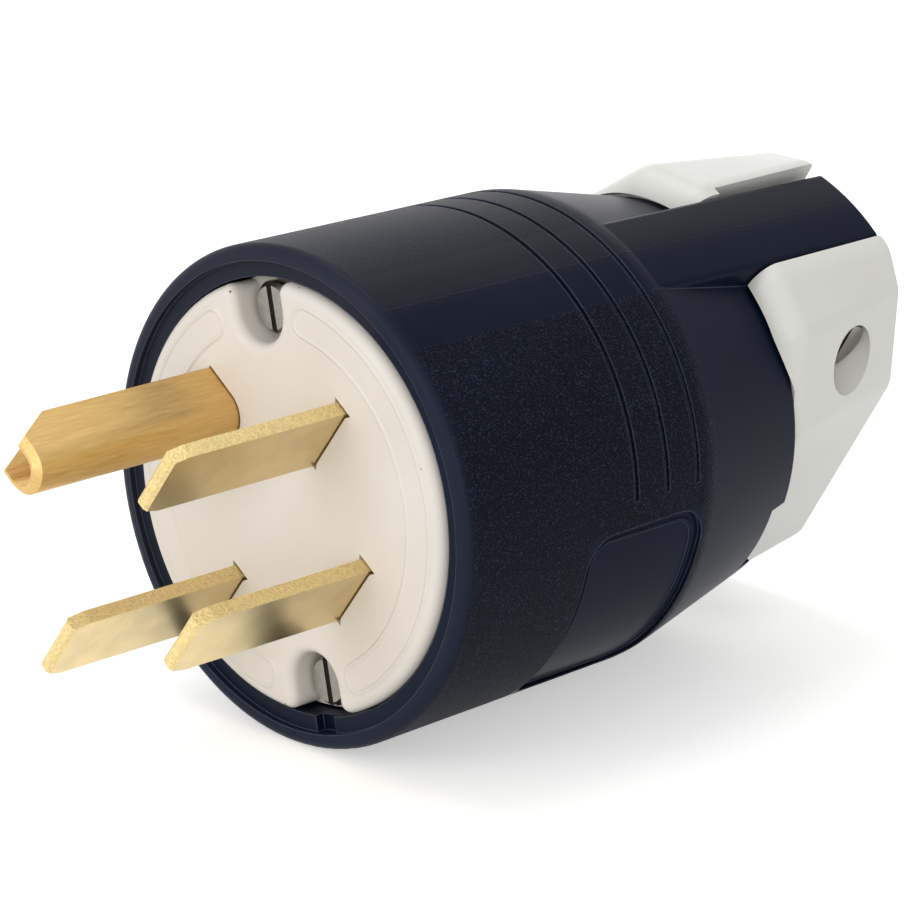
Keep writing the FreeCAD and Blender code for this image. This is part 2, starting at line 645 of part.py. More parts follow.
def add_lug(body):
    # a box lug with an opening for the wire and a threaded outer wall, in its radial frame
    block = across_axis(body, "lug", "lug_start")
    rectangle(block, "lug_inner", "lug_outer", "-(lug_half)", "lug_half")
    extrude(body, "Pad", block, "lug_end - lug_start", reverse=True)
    opening = across_axis(body, "wire_opening", "lug_start + lug_wall")
    rectangle(opening, "lug_inner + lug_wall", "window_outer",
              "-(lug_half - lug_side)", "lug_half - lug_side")
    extrude(body, "Pocket", opening, "block_end")
    thread = drawing(body, "YZ_Plane", "screw_thread", "window_outer")
    circle(thread, "lug_centre_y", "0", "terminal_screw_r")
    extrude(body, "Pocket", thread, "lug_thread + margin", reverse=True)


def blade_tip(edge):
    # the long edges of the tip, so that its cut corners stay plain
    return lies_across(edge, "-blade_length") and edge.Length > 2 * amount("blade_thickness")


def make_blade(name, turn, centre, across):
    # a flat blade with cut corners and a bevelled tip, and its terminal lug
    body = new_body(name, turn)
    half = "blade_width / 2"
    if across:
        shape = drawing(body, "YZ_Plane", "blade", centre)
        low, high = f"-({half})", half
    else:
        shape = along_axis(body, "blade")
        low, high = f"{centre} - {half}", f"{centre} + {half}"
    corners = (
        (low, "lug_start + lug_wall"),
        (low, "blade_lead - blade_length"),
        (f"{low} + blade_corner", "-blade_length"),
        (f"{high} - blade_corner", "-blade_length"),
        (high, "blade_lead - blade_length"),
        (high, "lug_start + lug_wall"),
    )
    if across:
        corners = tuple((y, x) for x, y in corners)
    outline(shape, corners)
    extrude(body, "Pad", shape, "blade_thickness", both_ways=True)
    rounded(body, "tip_bevel", "blade_bevel", blade_tip, kind="Chamfer")
    add_lug(body)
    return body


def pin_tip(edge):
    return lies_across(edge, "-pin_length")


def make_ground_pin():
    # a strip folded to a U, open on its outer side, with sloping cuts at the tip
    body = new_body("ground_pin", "contact_turn + 90")
    outer = across_axis(body, "pin", "-pin_length")
    open_round(outer, "pin_round_r", "pin_half", "pin_open_r")
    extrude(body, "Pad", outer, "pin_length + lug_start + lug_wall", reverse=True)
    rounded(body, "tip_bevel", "pin_bevel", pin_tip, kind="Chamfer")
    inner = across_axis(body, "hollow", "-pin_length - margin")
    open_round(inner, "pin_round_r", "pin_half - pin_wall", "pin_open_r + margin")
    extrude(body, "Pocket", inner, "pin_length + lug_start + margin")
    slope = along_axis(body, "tip_slope")
    outline(slope, (
        ("pin_open_r - pin_slope_rise", "-pin_length"),
        ("pin_open_r", "pin_slope_length - pin_length"),
        ("pin_open_r + margin", "pin_slope_length - pin_length"),
        ("pin_open_r + margin", "-pin_length - margin"),
        ("pin_open_r - pin_slope_rise", "-pin_length - margin"),
    ))
    extrude(body, "Pocket", slope, "through", both_ways=True)
    add_lug(body)
    return body


def make_terminal_screw(name, turn):
    body = new_body(name, turn)
    shank = drawing(body, "YZ_Plane", "shank", "window_outer")
    circle(shank, "lug_centre_y", "0", "terminal_screw_r")
    extrude(body, "Pad", shank, "terminal_screw")
    slot = drawing(body, "YZ_Plane", "driver_slot", "window_outer + terminal_screw")
    rectangle(slot, "lug_centre_y - terminal_screw_r", "lug_centre_y + terminal_screw_r",
              "-screw_slot / 2", "screw_slot / 2")
    extrude(body, "Pocket", slot, "slot_depth")
    return body


def make_terminal_plate(name, turn):
    # lies between the screw's end and the wire
    body = new_body(name, turn)
    shape = drawing(body, "YZ_Plane", "plate", "window_outer - plate")
    half = "lug_half - lug_side - running_fit"
    rectangle(shape, "lug_end - plate_length", "lug_end", f"-({half})", half)
    extrude(body, "Pad", shape, "plate")
    return body


def make_face_screw(name, turn):
    body = new_body(name, turn)
    shank = across_axis(body, "shank", "face_notch")
    circle(shank, "face_screw_circle", "0", "face_screw_r")
    extrude(body, "Pad", shank, "boss_start + insert_length - face_notch", reverse=True)
    head = across_axis(body, "head", "face_notch - face_head")
    circle(head, "face_screw_circle", "0", "face_head_r")
    extrude(body, "Pad", head, "face_head", reverse=True)
    crown = round_edge("face_head_r", "face_notch - face_head")
    rounded(body, "crown", "head_crown", crown, kind="Chamfer")
    slot = across_axis(body, "driver_slot", "face_notch - face_head")
    rectangle(slot, "face_screw_circle - face_head_r - margin", "face_screw_circle + face_head_r + margin",
              "-screw_slot / 2", "screw_slot / 2")
    extrude(body, "Pocket", slot, "slot_depth")
    return body


def make_insert(name, turn):
    body = new_body(name, turn)
    sleeve = across_axis(body, "sleeve", "boss_start")
    circle(sleeve, "face_screw_circle", "0", "insert_r")
    circle(sleeve, "face_screw_circle", "0", "face_screw_r")
    extrude(body, "Pad", sleeve, "insert_length", reverse=True)
    return body


def jaw_section(sketch, rise):
    # half of an eight-sided section, flat where it meets the spines
    outline(sketch, (
        ("jaw_side_x", "jaw_gap"),
        ("jaw_side_x", "jaw_side_z"),
        ("jaw_shoulder_x", f"jaw_shoulder_z + {rise}"),
        ("jaw_crown_x", f"jaw_crown_z + {rise}"),
        ("-jaw_crown_x", f"jaw_crown_z + {rise}"),
        ("-jaw_shoulder_x", f"jaw_shoulder_z + {rise}"),
        ("-jaw_side_x", "jaw_side_z"),
        ("-jaw_side_x", "jaw_gap"),
    ))


def jaw_outer_edges(edge):
    # the edges around the front and those between the facets
    long = edge.BoundBox.YLength > amount("rear_end - jaw_front") / 2
    above = edge.CenterOfMass.z > amount("jaw_gap") + SLACK
    return (long or lies_across(edge, "jaw_front")) and above


def jaw_rear_edges(edge):
    return lies_across(edge, "rear_end") and edge.CenterOfMass.z > amount("jaw_gap") + SLACK


def make_jaw(name, turn, extra):
    # one clamp jaw: faceted outside, grooved cord saddle inside, drawn closing down to Z = 0
    body = new_body(name, turn)
    front = across_axis(body, "front", "jaw_front")
    jaw_section(front, f"jaw_rise + {extra}")
    rear = across_axis(body, "rear", "rear_end")
    jaw_section(rear, extra)
    loft(body, "facets", rear, front)
    rounded(body, "outer_edges", "jaw_rounding", jaw_outer_edges)
    rounded(body, "rear_edges", "jaw_edge", jaw_rear_edges)

    tongue = across_axis(body, "tongue", "tongue_start")
    outline(tongue, (
        ("tongue_half", "jaw_gap + margin"),
        ("tongue_half", "tongue_side_z"),
        ("tongue_crown_x", "tongue_crown_z"),
        ("-tongue_crown_x", "tongue_crown_z"),
        ("-tongue_half", "tongue_side_z"),
        ("-tongue_half", "jaw_gap + margin"),
    ))
    extrude(body, "Pad", tongue, "jaw_front - tongue_start + jaw_rounding + margin", reverse=True)

    lip = along_axis(body, "lip_clearance")
    outside = "lip_r + 2 * fit + shoulder_slope * (lip_end - jaw_front + margin)"
    outline(lip, (
        ("lip_inner_r - fit", "tongue_start - margin"),
        ("lip_inner_r - fit", "lip_end + fit"),
        ("lip_r + fit", "lip_end + fit"),
        (outside, "jaw_front - margin"),
        (outside, "tongue_start - margin"),
    ))
    turned(body, "Groove", lip)

    grooves = [("0", "tongue_start - margin"), ("saddle_r", "tongue_start - margin")]
    for index in range(3):
        middle = f"saddle_groove_first + {index} * saddle_groove_pitch"
        grooves += [
            ("saddle_r", f"{middle} - saddle_groove_width / 2"),
            ("saddle_r + saddle_groove", f"{middle} - saddle_groove_width / 4"),
            ("saddle_r + saddle_groove", f"{middle} + saddle_groove_width / 4"),
            ("saddle_r", f"{middle} + saddle_groove_width / 2"),
        ]
    grooves += [("saddle_r", "past_rear"), ("0", "past_rear")]
    saddle = along_axis(body, "saddle")
    outline(saddle, grooves)
    turned(body, "Groove", saddle)

    bores = along_axis(body, "screw_bores", "jaw_gap - margin")
    circle(bores, "clamp_screw_x", "clamp_screw_y", "clamp_screw_r + fit")
    circle(bores, "-clamp_screw_x", "clamp_screw_y", "clamp_screw_r + fit")
    extrude(body, "Pocket", bores, "jaw_crown_z", reverse=True)
    seats = along_axis(body, "seats", "clamp_seat")
    return body, seats


def make_head_jaw():
    body, seats = make_jaw("clamp_jaw_screw_side", "180", "0")
    circle(seats, "clamp_screw_x", "clamp_screw_y", "clamp_bore_r")
    circle(seats, "-clamp_screw_x", "clamp_screw_y", "clamp_bore_r")
    extrude(body, "Pocket", seats, "jaw_crown_z", reverse=True)
    return body


def make_nut_jaw():
    body, seats = make_jaw("clamp_jaw_nut_side", "0", "nut_jaw_rise")
    hexagon(seats, "clamp_screw_x", "clamp_screw_y", "clamp_nut_flats + running_fit")
    hexagon(seats, "-clamp_screw_x", "clamp_screw_y", "clamp_nut_flats + running_fit")
    extrude(body, "Pocket", seats, "jaw_crown_z", reverse=True)
    relief = across_axis(body, "side_relief", "relief_start")
    outside = "jaw_side_x + margin"
    for low, high in (("tongue_half", outside), (f"-({outside})", "-tongue_half")):
        rectangle(relief, low, high, "jaw_gap - margin", "spine_half + relief_gap")
    extrude(body, "Pocket", relief, "past_rear")
    return body


def make_clamp_screw(name, side):
    body = new_body(name)
    x = f"{side}clamp_screw_x"
    shank = along_axis(body, "shank", "-clamp_seat")
    circle(shank, x, "clamp_screw_y", "clamp_screw_r")
    extrude(body, "Pad", shank, "2 * clamp_seat + clamp_nut + margin")
    head = along_axis(body, "head", "-clamp_seat - clamp_head")
    circle(head, x, "clamp_screw_y", "clamp_head_r")
    extrude(body, "Pad", head, "clamp_head")
    slot = along_axis(body, "driver_slot", "-clamp_seat - clamp_head")
    rectangle(slot, f"{x} - clamp_head_r - margin", f"{x} + clamp_head_r + margin",
              "clamp_screw_y - screw_slot / 2", "clamp_screw_y + screw_slot / 2")
    extrude(body, "Pocket", slot, "slot_depth", reverse=True)
    return body


def make_clamp_nut(name, side):
    body = new_body(name)
    x = f"{side}clamp_screw_x"
    nut = along_axis(body, "nut", "clamp_seat")
    hexagon(nut, x, "clamp_screw_y", "clamp_nut_flats")
    circle(nut, x, "clamp_screw_y", "clamp_screw_r")
    extrude(body, "Pad", nut, "clamp_nut")
    return body


STATIONS = ("blade_x", "ground_pin", "blade_y", "blade_z")


def make_everything():
    make_housing()
    make_carrier()
    make_retainer()
    make_blade("blade_x", "contact_turn", "blade_x_r", across=False)
    make_ground_pin()
    make_blade("blade_y", "contact_turn + 180", "blade_y_r", across=False)
    make_blade("blade_z", "contact_turn + 270", "blade_z_r", across=True)
    for index, name in enumerate(STATIONS):
        turn = f"contact_turn + {index} * 90"
        make_terminal_screw(f"terminal_screw_{name}", turn)
        make_terminal_plate(f"terminal_plate_{name}", turn)
    for index, name in enumerate(("upper", "lower")):
        make_face_screw(f"face_screw_{name}", f"face_screw_angle + {index} * 180")
        make_insert(f"threaded_insert_{name}", f"face_screw_angle + {index} * 180")
    make_head_jaw()
    make_nut_jaw()
    for name, side in (("right", ""), ("left", "-")):
        make_clamp_screw(f"clamp_screw_{name}", side)
        make_clamp_nut(f"clamp_nut_{name}", side)


make_everything()
doc.recompute()

failures = []
for entry in doc.Objects:
    if "Invalid" in entry.State or "Error" in entry.State:
        failures.append(f"{entry.Label}: {entry.State}")
for entry in doc.Objects:
    if entry.TypeId == "PartDesign::Body":
        if entry.Shape.isNull() or not entry.Shape.isValid():
            failures.append(f"{entry.Label}: no valid solid")
if failures:
    raise RuntimeError("; ".join(failures))

os.makedirs("parts", exist_ok=True)
for entry in doc.Objects:
    if entry.TypeId == "PartDesign::Body":
        entry.Shape.exportStep(f"parts/{entry.Label}.step")
        print(entry.Label, round(entry.Shape.Volume), len(entry.Shape.Solids))
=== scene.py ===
import math

import bmesh
import bpy
import numpy as np
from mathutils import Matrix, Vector


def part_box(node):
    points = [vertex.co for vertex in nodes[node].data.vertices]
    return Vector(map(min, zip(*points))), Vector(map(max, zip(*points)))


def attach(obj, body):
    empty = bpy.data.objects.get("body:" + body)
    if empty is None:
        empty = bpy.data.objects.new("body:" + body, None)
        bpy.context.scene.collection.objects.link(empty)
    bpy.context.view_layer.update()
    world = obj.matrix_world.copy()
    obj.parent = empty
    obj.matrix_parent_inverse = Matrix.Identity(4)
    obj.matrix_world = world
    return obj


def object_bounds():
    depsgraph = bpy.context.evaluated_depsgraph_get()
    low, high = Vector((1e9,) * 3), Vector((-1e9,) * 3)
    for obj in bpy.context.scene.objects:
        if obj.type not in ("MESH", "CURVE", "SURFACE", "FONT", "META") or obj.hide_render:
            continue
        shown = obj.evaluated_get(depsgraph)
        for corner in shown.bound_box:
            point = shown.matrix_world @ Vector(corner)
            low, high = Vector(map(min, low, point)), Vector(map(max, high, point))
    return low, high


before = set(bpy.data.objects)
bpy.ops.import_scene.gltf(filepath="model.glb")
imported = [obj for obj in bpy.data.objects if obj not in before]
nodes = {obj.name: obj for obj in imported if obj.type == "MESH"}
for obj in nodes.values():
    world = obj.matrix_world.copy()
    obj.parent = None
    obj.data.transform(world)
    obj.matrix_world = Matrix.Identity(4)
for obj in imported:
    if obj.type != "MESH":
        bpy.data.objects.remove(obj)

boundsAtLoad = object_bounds()
scene = bpy.context.scene
mm = 0.001

# how the plug lies: its own X and Z are turned about its axis, which is Y
plugLie = {
    "rollDegrees": 58.2,
    "contactTurnDegrees": -5.0,  # the blades and the pin against the housing
}
lieAngle = math.radians(plugLie["rollDegrees"])
bladeAngle = math.radians(plugLie["rollDegrees"] + plugLie["contactTurnDegrees"])
bladeSide = (-math.sin(bladeAngle), 0.0, math.cos(bladeAngle))  # square to the blades' broad sides
ownX = np.array([math.cos(lieAngle), 0.0, math.sin(lieAngle)])  # in the spines' plane
ownY = np.array([0.0, 1.0, 0.0])
ownZ = np.array([-math.sin(lieAngle), 0.0, math.cos(lieAngle)])  # square to the spines' plane

print("plug: frame loaded,", len(nodes), "CAD nodes")


plugCamera = {
    "aim": (-7.3, 40.7, -3.9),  # mm, the point at the middle of the picture
    "azimuthDegrees": -44.4,
    "elevationDegrees": 17.4,
    "distance": 664.8,  # mm from that point
    "nearest": 10.0,  # mm, closer than anything in the picture
    "lens": 178.0,
    "sensor": 36.0,
}


def placeCamera(values):
    # a long lens at an azimuth and elevation about the aim, held level
    azimuth = math.radians(values["azimuthDegrees"])
    elevation = math.radians(values["elevationDegrees"])
    outward = Vector((
        math.cos(azimuth) * math.cos(elevation),
        math.sin(azimuth) * math.cos(elevation),
        math.sin(elevation),
    ))
    data = bpy.data.cameras.new("plugCamera")
    data.lens = values["lens"]
    data.sensor_width = values["sensor"]
    data.clip_start = values["nearest"] * mm
    camera = bpy.data.objects.new("plugCamera", data)
    camera.location = (Vector(values["aim"]) + outward * values["distance"]) * mm
    camera.rotation_euler = (-outward).to_track_quat("-Z", "Y").to_euler()
    scene.collection.objects.link(camera)
    scene.camera = camera


placeCamera(plugCamera)
scene.view_settings.view_transform = "Standard"
print("plug: camera placed")


def linearColour(hexText):
    # an sRGB hex colour as linear red, green, blue and full opacity
    values = [int(hexText[start:start + 2], 16) / 255 for start in (1, 3, 5)]
    return tuple(v / 12.92 if v <= 0.04045 else ((v + 0.055) / 1.055) ** 2.4 for v in values) + (1.0,)


def newMaterial(name):
    material = bpy.data.materials.new(name)
    material.use_nodes = True
    material.node_tree.nodes.clear()
    return material


def addNode(tree, kind, settings=None, inputs=None):
    # a node with its settings, its fixed inputs and its links in; a node given as an input
    # stands for its first output
    node = tree.nodes.new(kind)
    for name, value in (settings or {}).items():
        setattr(node, name, value)
    for name, value in (inputs or {}).items():
        if isinstance(value, bpy.types.Node):
            value = value.outputs[0]
        if isinstance(value, bpy.types.NodeSocket):
            tree.links.new(value, node.inputs[name])
        else:
            node.inputs[name].default_value = value
    return node


# settings that many of the nodes share
times = {"operation": "MULTIPLY"}
absolute = {"operation": "ABSOLUTE"}
largest = {"operation": "MAXIMUM"}
smooth = {"interpolation_type": "SMOOTHSTEP"}
ofColours = {"data_type": "RGBA"}
ofNumbers = {"data_type": "FLOAT"}


studio = {
    "floorColour": "#f4f4f3",
    "floorSize": 3.0,  # m from the middle to an edge
    "floorLift": 0.50,  # how much brighter the floor looks than it is lit
    "skyColour": "#ffffff",
    "skyStrength": 0.50,
    "lampAim": (0.0, 0.04, 0.0),  # m, the point that every lamp faces
    "lamps": (
        # name, place in m, size in m, power in W
        ("overhead", (-0.30, 0.10, 1.10), 0.60, 3.0),
        ("front", (-0.15, -1.20, 0.50), 1.00, 6.4),
        ("rightFill", (1.00, -0.75, 0.26), 0.80, 4.4),
        ("backSheen", (-0.78, 0.80, 0.38), 0.70, 1.3),
    ),
}


def whiteSeen(tree):
    # 1 where the lens looks, straight, in a shine or through glass, and 0 for light on the plug
    ray = addNode(tree, "ShaderNodeLightPath")
    shine = addNode(tree, "ShaderNodeMath", largest,
                    {0: ray.outputs["Is Camera Ray"], 1: ray.outputs["Is Glossy Ray"]})
    return addNode(tree, "ShaderNodeMath", largest, {0: shine, 1: ray.outputs["Is Transmission Ray"]})


def makeFloor(values):
    # a flat grid of two by two points under the plug's lowest point
    reach = values["floorSize"]
    lowest = boundsAtLoad[0][2]
    corners = [(-reach, -reach, lowest), (reach, -reach, lowest),
               (reach, reach, lowest), (-reach, reach, lowest)]
    mesh = bpy.data.meshes.new("studioFloor")
    mesh.from_pydata(corners, [], [(0, 1, 2, 3)])
    floor = bpy.data.objects.new("studioFloor", mesh)
    scene.collection.objects.link(floor)
    material = newMaterial("paintedStudioFloor")
    tree = material.node_tree
    # matt white paint: it takes the plug's shadow, and looks white to the lens and in the metal
    lift = addNode(tree, "ShaderNodeMath", times, {0: whiteSeen(tree), 1: values["floorLift"]})
    paint = addNode(tree, "ShaderNodeBsdfDiffuse", None, {"Color": linearColour(values["floorColour"])})
    glow = addNode(tree, "ShaderNodeEmission", None,
                   {"Color": linearColour(values["floorColour"]), "Strength": lift})
    both = addNode(tree, "ShaderNodeAddShader", None, {0: paint, 1: glow})
    addNode(tree, "ShaderNodeOutputMaterial", None, {"Surface": both})
    floor.data.materials.append(material)


def makeSky(values):
    # even soft light all round, and plain white where the lens or a shine sees it
    world = bpy.data.worlds.new("studioSky")
    world.use_nodes = True
    tree = world.node_tree
    tree.nodes.clear()
    strength = addNode(tree, "ShaderNodeMapRange", None,
                       {"Value": whiteSeen(tree), "To Min": values["skyStrength"], "To Max": 1.0})
    sky = addNode(tree, "ShaderNodeBackground", None,
                  {"Color": linearColour(values["skyColour"]), "Strength": strength})
    addNode(tree, "ShaderNodeOutputWorld", None, {"Surface": sky})
    scene.world = world


def makeLamps(values):
    # square lamps that all face the same point
    for name, place, size, power in values["lamps"]:
        data = bpy.data.lights.new(name, "AREA")
        data.size = size
        data.energy = power
        lamp = bpy.data.objects.new(name, data)
        lamp.location = place
        facing = Vector(values["lampAim"]) - lamp.location
        lamp.rotation_euler = facing.to_track_quat("-Z", "Y").to_euler()
        scene.collection.objects.link(lamp)


makeFloor(studio)
makeSky(studio)
makeLamps(studio)
print("plug: floor, sky and lamps set")


def plugCoordinates(tree):
    # the plug's own coordinates: X lies in the spines' plane, Y along the axis, Z square to that plane
    place = addNode(tree, "ShaderNodeTexCoord")
    return addNode(tree, "ShaderNodeMapping", {"vector_type": "TEXTURE"},
                   {"Vector": place.outputs["Object"], "Rotation": (0.0, -lieAngle, 0.0)})


def axisDistance(tree, own):
    # how far a point is from the plug's axis
    flat = addNode(tree, "ShaderNodeVectorMath", times, {0: own, 1: (1.0, 0.0, 1.0)})
    return addNode(tree, "ShaderNodeVectorMath", {"operation": "LENGTH"}, {0: flat}).outputs["Value"]


housingFinish = {
    "colour": "#0a1326",
    "valleyColour": "#060c19",  # between the grain's folds little light gets out
    "foldColour": "#252d40",  # the tops of the grain's folds catch the light
    "fineHalfSheenColour": "#1b1e29",  # a painted sheen: the finely grained half is greyer, as the light's sheen makes it look
    "edgeColour": "#565d70",  # edges are paler: rubbed wear, and a painted highlight
    "cloudSize": 18.0,  # mm
    "clouding": 0.35,  # how far the colour drifts
    "smoothRoughness": 0.36,
    "grainRoughness": 0.48,
    "specularLevel": 0.05,
    "grainPitch": 0.25,  # mm between the folds of the leather grain
    "grainStretch": 0.6,  # below 1, the folds are drawn out along the axis
    "foldSpan": (0.48, 0.70),  # the noise's values between which a fold rises to its top
    "grainDepth": 0.24,  # mm; deeper than real so that it shows
    "fineGrainDepth": 0.02,  # mm
    "fineEdge": (-2.0, 2.0),  # mm from the spines' plane, where the fine grain begins
    "stripEdge": (6.95, 7.45),  # mm from that plane, where the smooth strip ends
    "rimEdge": (0.8, 1.8),  # mm behind the face, where the rim ends
    "rimRound": (34.8, 35.0),  # mm from the axis; inside it the plastic is smooth
    "shoulderEdge": (48.0, 52.0),  # mm behind the face, where the shoulder turns smooth
    "skinPitch": 0.5,  # mm, the fine skin that the mould leaves everywhere
    "skinDepth": 0.008,  # mm
    "partingLine": 0.20,  # mm wide
    "partingHeight": 0.02,  # mm
    "softEdge": 0.35,  # mm, how far the mould's edges are rounded off
    "paleEdgeSpan": (0.80, 0.985),  # the cosine of an edge's turn, from fully pale (rubbed, and a painted highlight) to not at all
    "rimWearAndHighlight": 0.13,  # how far the rim round the face is paler: rubbed wear and a painted highlight
    "rimPaleEnd": 3.0,  # mm behind the face
}


sidePanel = {
    "start": 24.5,  # mm behind the face
    "length": 24.0,
    "half": 16.0,  # mm, half its width
    "corner": 5.0,
    "floorRadius": 35.2,  # mm from the axis to the panel's floor
    "beadInset": 1.5,  # mm from the panel's edge to the middle of its bead
    "beadWidth": 0.9,
    "beadHeight": 0.35,
    "beadDepth": 0.05,
    "sidePoints": 60,
    "cornerPoints": 10,
    "sectionPoints": 9,
}


def outsidePanel(tree, parts):
    # 0 on the smooth floor of a side panel, 1 elsewhere; the panels lie on both sides of the spines
    halfLength = sidePanel["length"] / 2
    fromMiddle = addNode(tree, "ShaderNodeMath", {"operation": "SUBTRACT"},
                         {0: parts.outputs["Y"], 1: (sidePanel["start"] + halfLength) * mm})
    alongPanel = addNode(tree, "ShaderNodeMath", absolute, {0: fromMiddle})
    acrossPanel = addNode(tree, "ShaderNodeMath", absolute, {0: parts.outputs["X"]})
    pastLength = addNode(tree, "ShaderNodeMath", {"operation": "GREATER_THAN"},
                         {0: alongPanel, 1: halfLength * mm})
    pastWidth = addNode(tree, "ShaderNodeMath", {"operation": "GREATER_THAN"},
                        {0: acrossPanel, 1: sidePanel["half"] * mm})
    return addNode(tree, "ShaderNodeMath", largest, {0: pastWidth, 1: pastLength})


def grainPlaces(tree, own, parts, side, values):
    # 1 where the mould's grain is, 0 on the smooth strips, the rim, the shoulder and the panels
    edges = (
        # what is measured, the edge in mm, and the grain before and after it
        (side, values["stripEdge"], 0.0, 1.0),
        (parts.outputs["Y"], values["shoulderEdge"], 1.0, 0.0),
        (parts.outputs["Y"], values["rimEdge"], 0.0, 1.0),
        (axisDistance(tree, own), values["rimRound"], 0.0, 1.0),
    )
    here = outsidePanel(tree, parts)
    for measured, (start, end), before, after in edges:
        passed = addNode(tree, "ShaderNodeMapRange", smooth, {
            "Value": measured, "From Min": start * mm, "From Max": end * mm,
            "To Min": before, "To Max": after,
        })
        here = addNode(tree, "ShaderNodeMath", times, {0: here, 1: passed})
    return here


def leatherFolds(tree, own, values):
    # 0 in the valleys of the leather grain and 1 on its folds, which are drawn out along the axis
    drawn = addNode(tree, "ShaderNodeVectorMath", times, {0: own, 1: (1.0, values["grainStretch"], 1.0)})
    folds = addNode(tree, "ShaderNodeTexNoise", None, {
        "Vector": drawn, "Scale": 1 / (values["grainPitch"] * mm), "Detail": 1.0, "Distortion": 0.4,
    })
    return addNode(tree, "ShaderNodeMapRange", smooth, {
        "Value": folds, "From Min": values["foldSpan"][0], "From Max": values["foldSpan"][1],
    })


def housingHeight(tree, own, side, foldsHere, fineHalf, values):
    # the folds, shallower on the fine half, with the mould's skin and the parting line's seam
    grainDepth = addNode(tree, "ShaderNodeMapRange", None, {
        "Value": fineHalf, "To Min": values["grainDepth"] * mm, "To Max": values["fineGrainDepth"] * mm,
    })
    grain = addNode(tree, "ShaderNodeMath", times, {0: foldsHere, 1: grainDepth})
    skin = addNode(tree, "ShaderNodeTexNoise", None, {
        "Vector": own, "Scale": 1 / (values["skinPitch"] * mm), "Detail": 3.0, "Roughness": 0.6,
    })
    seam = addNode(tree, "ShaderNodeMapRange", smooth, {
        "Value": side, "From Min": 0.0, "From Max": values["partingLine"] * mm,
        "To Min": values["partingHeight"] * mm, "To Max": 0.0,
    })
    skinHeight = addNode(tree, "ShaderNodeMath", {"operation": "MULTIPLY_ADD"},
                         {0: skin, 1: values["skinDepth"] * mm, 2: seam})
    return addNode(tree, "ShaderNodeMath", {"operation": "ADD"}, {0: grain, 1: skinHeight})


def housingColour(tree, own, grainHere, foldsHere, fineHalf, values):
    # dark valleys and paler folds in the grain, a greyer tone on the fine half that is a painted sheen, and
    # faint clouds
    ground = addNode(tree, "ShaderNodeMix", ofColours, {
        0: grainHere, 6: linearColour(values["colour"]), 7: linearColour(values["valleyColour"]),
    })
    coarse = addNode(tree, "ShaderNodeMix", ofColours, {
        0: foldsHere, 6: ground.outputs[2], 7: linearColour(values["foldColour"]),
    })
    # the fine half's greyer tone is a painted sheen
    base = addNode(tree, "ShaderNodeMix", ofColours, {
        0: fineHalf, 6: coarse.outputs[2], 7: linearColour(values["fineHalfSheenColour"]),
    })
    cloud = addNode(tree, "ShaderNodeTexNoise", None,
                    {"Vector": own, "Scale": 1 / (values["cloudSize"] * mm), "Detail": 4.0})
    drift = addNode(tree, "ShaderNodeMapRange", None, {
        "Value": cloud, "To Min": 1.0 - values["clouding"], "To Max": 1.0 + values["clouding"],
    })
    return addNode(tree, "ShaderNodeVectorMath", {"operation": "SCALE"},
                   {0: base.outputs[2], "Scale": drift})


def rubbedAndHighlitPlaces(tree, parts, softened, values):
    # how far a place is painted pale, partly for rubbed wear and partly as a painted highlight: fully on an
    # edge, where the rounded-off surface turns away from the sharp one, and a little on the rim
    facing = addNode(tree, "ShaderNodeNewGeometry")
    turn = addNode(tree, "ShaderNodeVectorMath", {"operation": "DOT_PRODUCT"},
                   {0: facing.outputs["Normal"], 1: softened})
    edgeWearAndHighlight = addNode(tree, "ShaderNodeMapRange", smooth, {
        "Value": turn.outputs["Value"],
        "From Min": values["paleEdgeSpan"][0], "From Max": values["paleEdgeSpan"][1],
        "To Min": 1.0, "To Max": 0.0,
    })
    rimWearAndHighlight = addNode(tree, "ShaderNodeMapRange", smooth, {
        "Value": parts.outputs["Y"], "From Min": 0.0, "From Max": values["rimPaleEnd"] * mm,
        "To Min": values["rimWearAndHighlight"], "To Max": 0.0,
    })
    return addNode(tree, "ShaderNodeMath", largest, {0: edgeWearAndHighlight, 1: rimWearAndHighlight})


def mouldedNylonHousing(values):
    # glass-filled nylon, injection moulded: near black with a blue cast and a satin gloss,
    # leather grain from the mould on the gripping sides, smooth strips and a fine parting line
    material = newMaterial("mouldedNylonHousing")
    tree = material.node_tree
    own = plugCoordinates(tree)
    parts = addNode(tree, "ShaderNodeSeparateXYZ", None, {"Vector": own})
    side = addNode(tree, "ShaderNodeMath", absolute, {0: parts.outputs["Z"]})
    fineHalf = addNode(tree, "ShaderNodeMapRange", smooth, {
        "Value": parts.outputs["Z"],
        "From Min": values["fineEdge"][0] * mm, "From Max": values["fineEdge"][1] * mm,
    })
    grainHere = grainPlaces(tree, own, parts, side, values)
    foldsHere = addNode(tree, "ShaderNodeMath", times, {0: leatherFolds(tree, own, values), 1: grainHere})
    softened = addNode(tree, "ShaderNodeBevel", {"samples": 4}, {"Radius": values["softEdge"] * mm})
    relief = addNode(tree, "ShaderNodeBump", None, {
        "Height": housingHeight(tree, own, side, foldsHere, fineHalf, values),
        "Strength": 1.0, "Distance": 1.0, "Normal": softened,
    })
    # edges and the rim's front are paler: partly rubbed wear, partly a painted highlight
    tone = addNode(tree, "ShaderNodeMix", ofColours, {
        0: rubbedAndHighlitPlaces(tree, parts, softened, values),
        6: housingColour(tree, own, grainHere, foldsHere, fineHalf, values).outputs[0],
        7: linearColour(values["edgeColour"]),
    })
    gloss = addNode(tree, "ShaderNodeMapRange", None, {
        "Value": grainHere, "To Min": values["smoothRoughness"], "To Max": values["grainRoughness"],
    })
    shader = addNode(tree, "ShaderNodeBsdfPrincipled", None, {
        "Base Color": tone.outputs[2], "Roughness": gloss, "IOR": 1.53,
        "Specular IOR Level": values["specularLevel"], "Normal": relief,
    })
    addNode(tree, "ShaderNodeOutputMaterial", None, {"Surface": shader})
    return material


